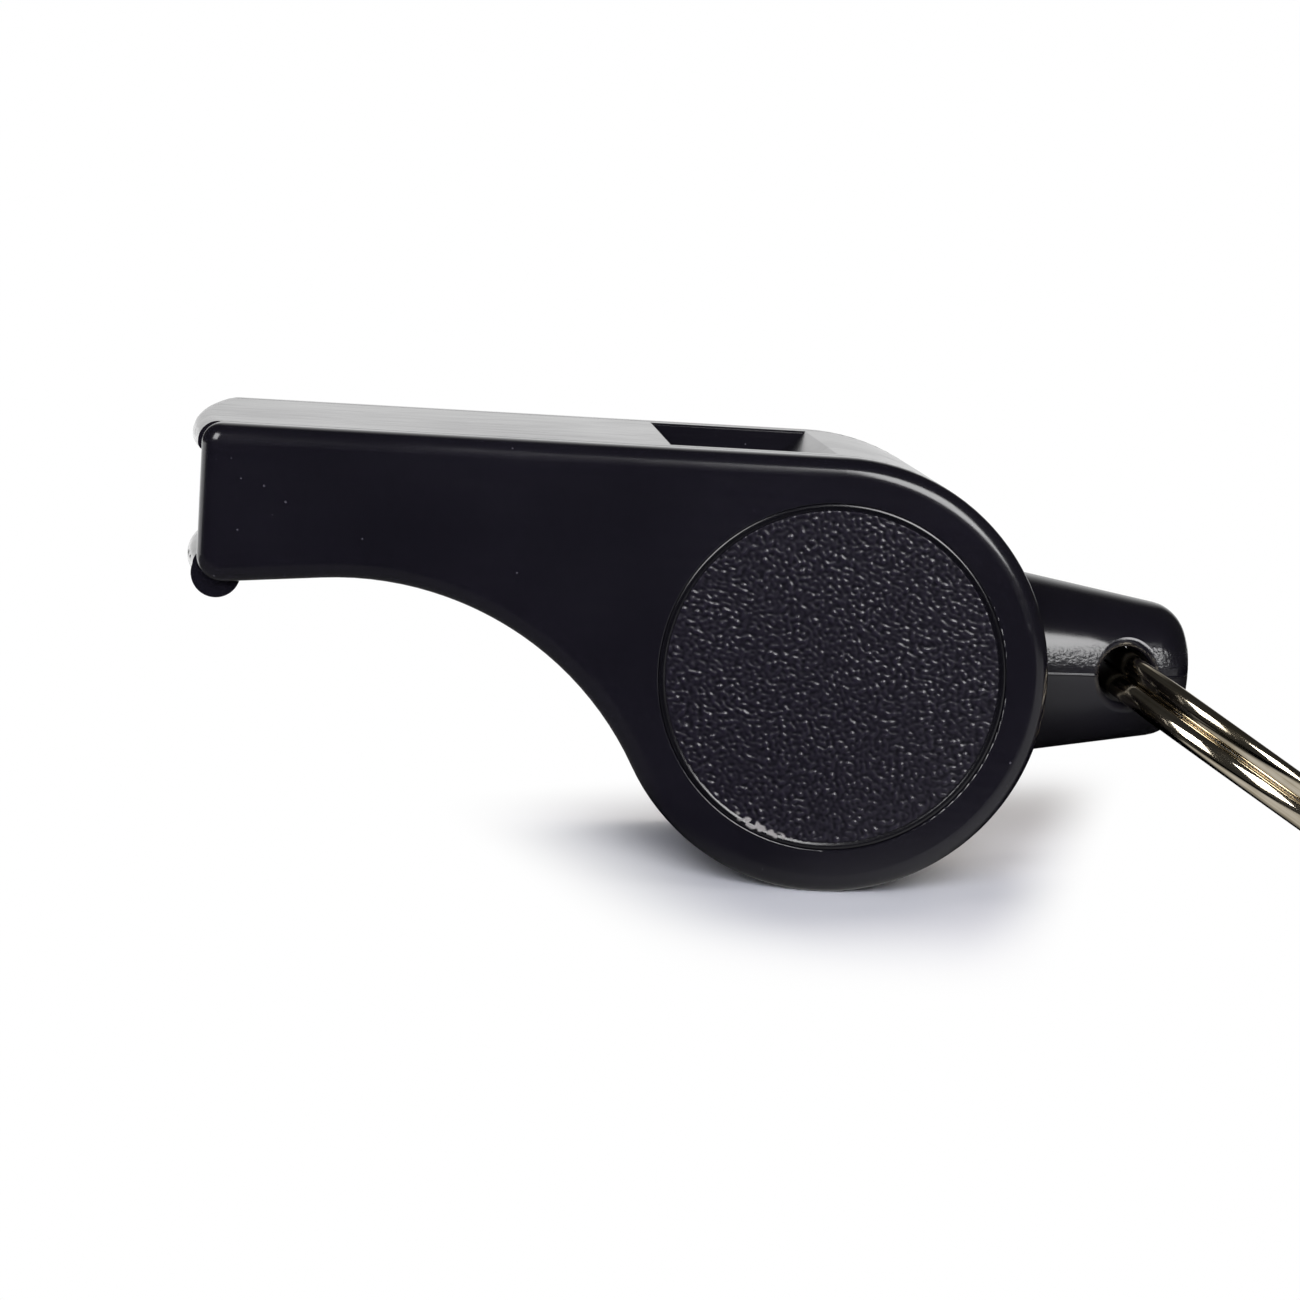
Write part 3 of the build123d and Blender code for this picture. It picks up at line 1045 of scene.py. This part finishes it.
@dataclass
class Studio:
    """White table, white wall behind, soft boxes and a dark room on the camera's side."""

    table_radius_mm: float = 3000.0
    table_rings: int = 24
    table_columns: int = 96
    table_colour: str = "#f0f0f2"
    dim_room: float = 0.035
    wall_ramp: tuple[float, float] = (0.25, 0.75)  # how far back a direction points, at the two levels
    wall_levels: tuple[float, float] = (0.03, 0.99)
    wall_losses: tuple[float, float, float] = (-1.0, 0.0, -0.12)  # what pointing aside and up takes away
    shadow: TableArea = TableArea((
        TableRamp(1.0, 0.25, -17.5, -5.5),
        TableRamp(1.0, -0.25, 16.2, 10.8),
        TableRamp(0.0, 1.0, -34.0, -13.0),
        TableRamp(-0.8, 1.0, 30.0, 8.0),
        TableRamp(0.0, 1.0, 40.0, 15.0),
    ))
    front_glow: TableArea = TableArea(
        (TableRamp(1.0, 0.9, -23.4, -1.4), TableRamp(0.0, 1.0, -6.0, -12.0)), 0.6)
    mouth_glow: TableArea = TableArea(
        (TableRamp(1.0, 0.0, -10.0, -16.0), TableRamp(0.0, 1.0, -45.0, -30.0)), 0.12)
    far_glow: TableArea = TableArea(
        (TableRamp(-1.2, 1.0, 25.0, 80.0), TableRamp(0.0, 1.0, 20.0, 30.0)), 1.3)
    lamps: tuple[Lamp, ...] = (
        Lamp("key soft box", LampUse.GLOSS, 27.5, 28.0, 360.0, 200.0, 170.0, 1.1),
        Lamp("fill soft box", LampUse.GLOSS, -40.0, 34.0, 360.0, 150.0, 190.0, 0.8),
        Lamp("front soft box", LampUse.MATT, -10.0, 20.0, 360.0, 200.0, 150.0, 1.72, "#f2f4ff"),
        Lamp("back soft box", LampUse.MATT, 140.0, 40.0, 500.0, 300.0, 300.0, 1.38, "#fff8f2"),
        Lamp("side soft box", LampUse.MATT, 80.0, 40.0, 400.0, 250.0, 250.0, 0.29),
    )

    def table_material(self) -> Material:
        """White card that keeps the shadows near the whistle and runs out to plain white for the camera.

        In the whistle's own gloss the table is dark, apart from its glows.

        Returns:
            The material.
        """
        material = bpy.data.materials.new("white card")
        tree = clear_tree(material)
        path = add_node(tree, "LightPath")
        place = add_node(tree, "TexCoord").outputs["Object"]
        matt = add_node(tree, "BsdfDiffuse", values={"Color": linear_colour(self.table_colour)})
        white = add_node(tree, "Emission", values={"Strength": 1.0})
        seen = add_node(tree, "MixShader",
                        links={0: self.shadow.add_to(tree, place), 1: white.outputs["Emission"],
                               2: matt.outputs["BSDF"]})
        mirrored = add_node(tree, "Emission", links={"Strength": self.table_glow(tree, place)})
        gloss = add_node(tree, "MixShader",
                         links={0: path.outputs["Is Glossy Ray"], 1: matt.outputs["BSDF"],
                                2: mirrored.outputs["Emission"]})
        surface = add_node(tree, "MixShader",
                           links={0: path.outputs["Is Camera Ray"], 1: gloss.outputs["Shader"],
                                  2: seen.outputs["Shader"]})
        add_node(tree, "OutputMaterial", links={"Surface": surface.outputs["Shader"]})
        return material

    def table_glow(self, tree: NodeTree, place: NodeSocket) -> NodeSocket:
        """Adds the sum of the glows at the front right, under the mouthpiece and far behind to the left.

        Args:
            tree: node tree of the material.
            place: Object coordinates.

        Returns:
            Socket of the brightness.
        """
        glow = self.front_glow.add_to(tree, place)
        for area in (self.mouth_glow, self.far_glow):
            both = add_node(tree, "Math", {"operation": "ADD"}, links={0: glow, 1: area.add_to(tree, place)})
            glow = both.outputs["Value"]
        return glow

    def build_table(self) -> Object:
        """Builds the table: rings of points that widen with the square of their number.

        Returns:
            The table.
        """
        rings, columns = self.table_rings, self.table_columns
        reach = (np.linspace(0, 1, rings + 1)[1:] ** 2 * self.table_radius_mm * MM)[:, None]
        turn = np.linspace(0, 2 * math.pi, columns, endpoint=False)[None, :]
        flat = np.stack([reach * np.cos(turn), reach * np.sin(turn), 0 * reach * turn], axis=2)
        points = np.concatenate([flat.reshape(-1, 3), [[0.0, 0.0, 0.0]]])
        groups = [grid_faces(rings, columns, True)[:, ::-1], fan_faces(np.arange(columns), len(points) - 1)]
        table = mesh_piece("table", points, groups)
        dress(table, self.table_material())
        return table

    def build_world(self) -> None:
        """Builds the room: plain white for the camera, a white wall behind in gloss, and dim for the rest.

        The wall's brightness is a ramp of how far a direction points back, less shares of how far it
        points aside and up.
        """
        world = bpy.data.worlds.new("studio")
        tree = clear_tree(world)
        toward = add_node(tree, "TexCoord").outputs["Generated"]
        split = add_node(tree, "SeparateXYZ", links={"Vector": toward})
        size = add_node(tree, "VectorMath", {"operation": "ABSOLUTE"}, links={0: toward})
        away = add_node(tree, "VectorMath", {"operation": "DOT_PRODUCT"}, {1: self.wall_losses},
                        {0: size.outputs["Vector"]})
        backward = add_node(tree, "Math", {"operation": "ADD"},
                            links={0: split.outputs["Y"], 1: away.outputs["Value"]})
        wall = add_node(tree, "MapRange", {"interpolation_type": "SMOOTHSTEP"},
                        {"From Min": self.wall_ramp[0], "From Max": self.wall_ramp[1],
                         "To Min": self.wall_levels[0], "To Max": self.wall_levels[1]},
                        {"Value": backward.outputs["Value"]})
        path = add_node(tree, "LightPath")
        mirrored = add_node(tree, "Mix", {"data_type": "FLOAT"}, {2: self.dim_room},
                            {0: path.outputs["Is Glossy Ray"], 3: wall.outputs["Result"]})
        strength = add_node(tree, "Mix", {"data_type": "FLOAT"}, {3: 1.0},
                            {0: path.outputs["Is Camera Ray"], 2: mirrored.outputs[0]})
        room = add_node(tree, "Background", values={"Color": (1.0, 1.0, 1.0, 1.0)},
                        links={"Strength": strength.outputs[0]})
        add_node(tree, "OutputWorld", links={"Surface": room.outputs["Background"]})
        bpy.context.scene.world = world

    def build(self) -> None:
        """Builds the table, the room and the lamps."""
        self.build_table()
        self.build_world()
        for lamp in self.lamps:
            lamp.build()


def main() -> None:
    """Builds and dresses the pieces, then the studio."""
    logging.basicConfig(level=logging.INFO, format="%(name)s: %(message)s")
    bpy.context.scene.view_settings.view_transform = "Standard"
    polished = PolishedAbs().material()
    for node in ("body", "right_side_plate", "left_side_plate"):
        dress(frame["nodes"][node], polished)
        LOG.info("dressed %s", node)
    grained = GrainedAbs().material()
    pieces = [GripDisc(side).build(grained) for side in Side]
    pieces.append(SplitRing().build(NickelWire().material()))
    pieces.append(CorkPea().build(GroundCork().material()))
    for piece in pieces:
        LOG.info("built %s with %d faces", piece.name, len(piece.data.polygons))
    Studio().build()
    Camera().build()


if __name__ == "__main__":
    main()
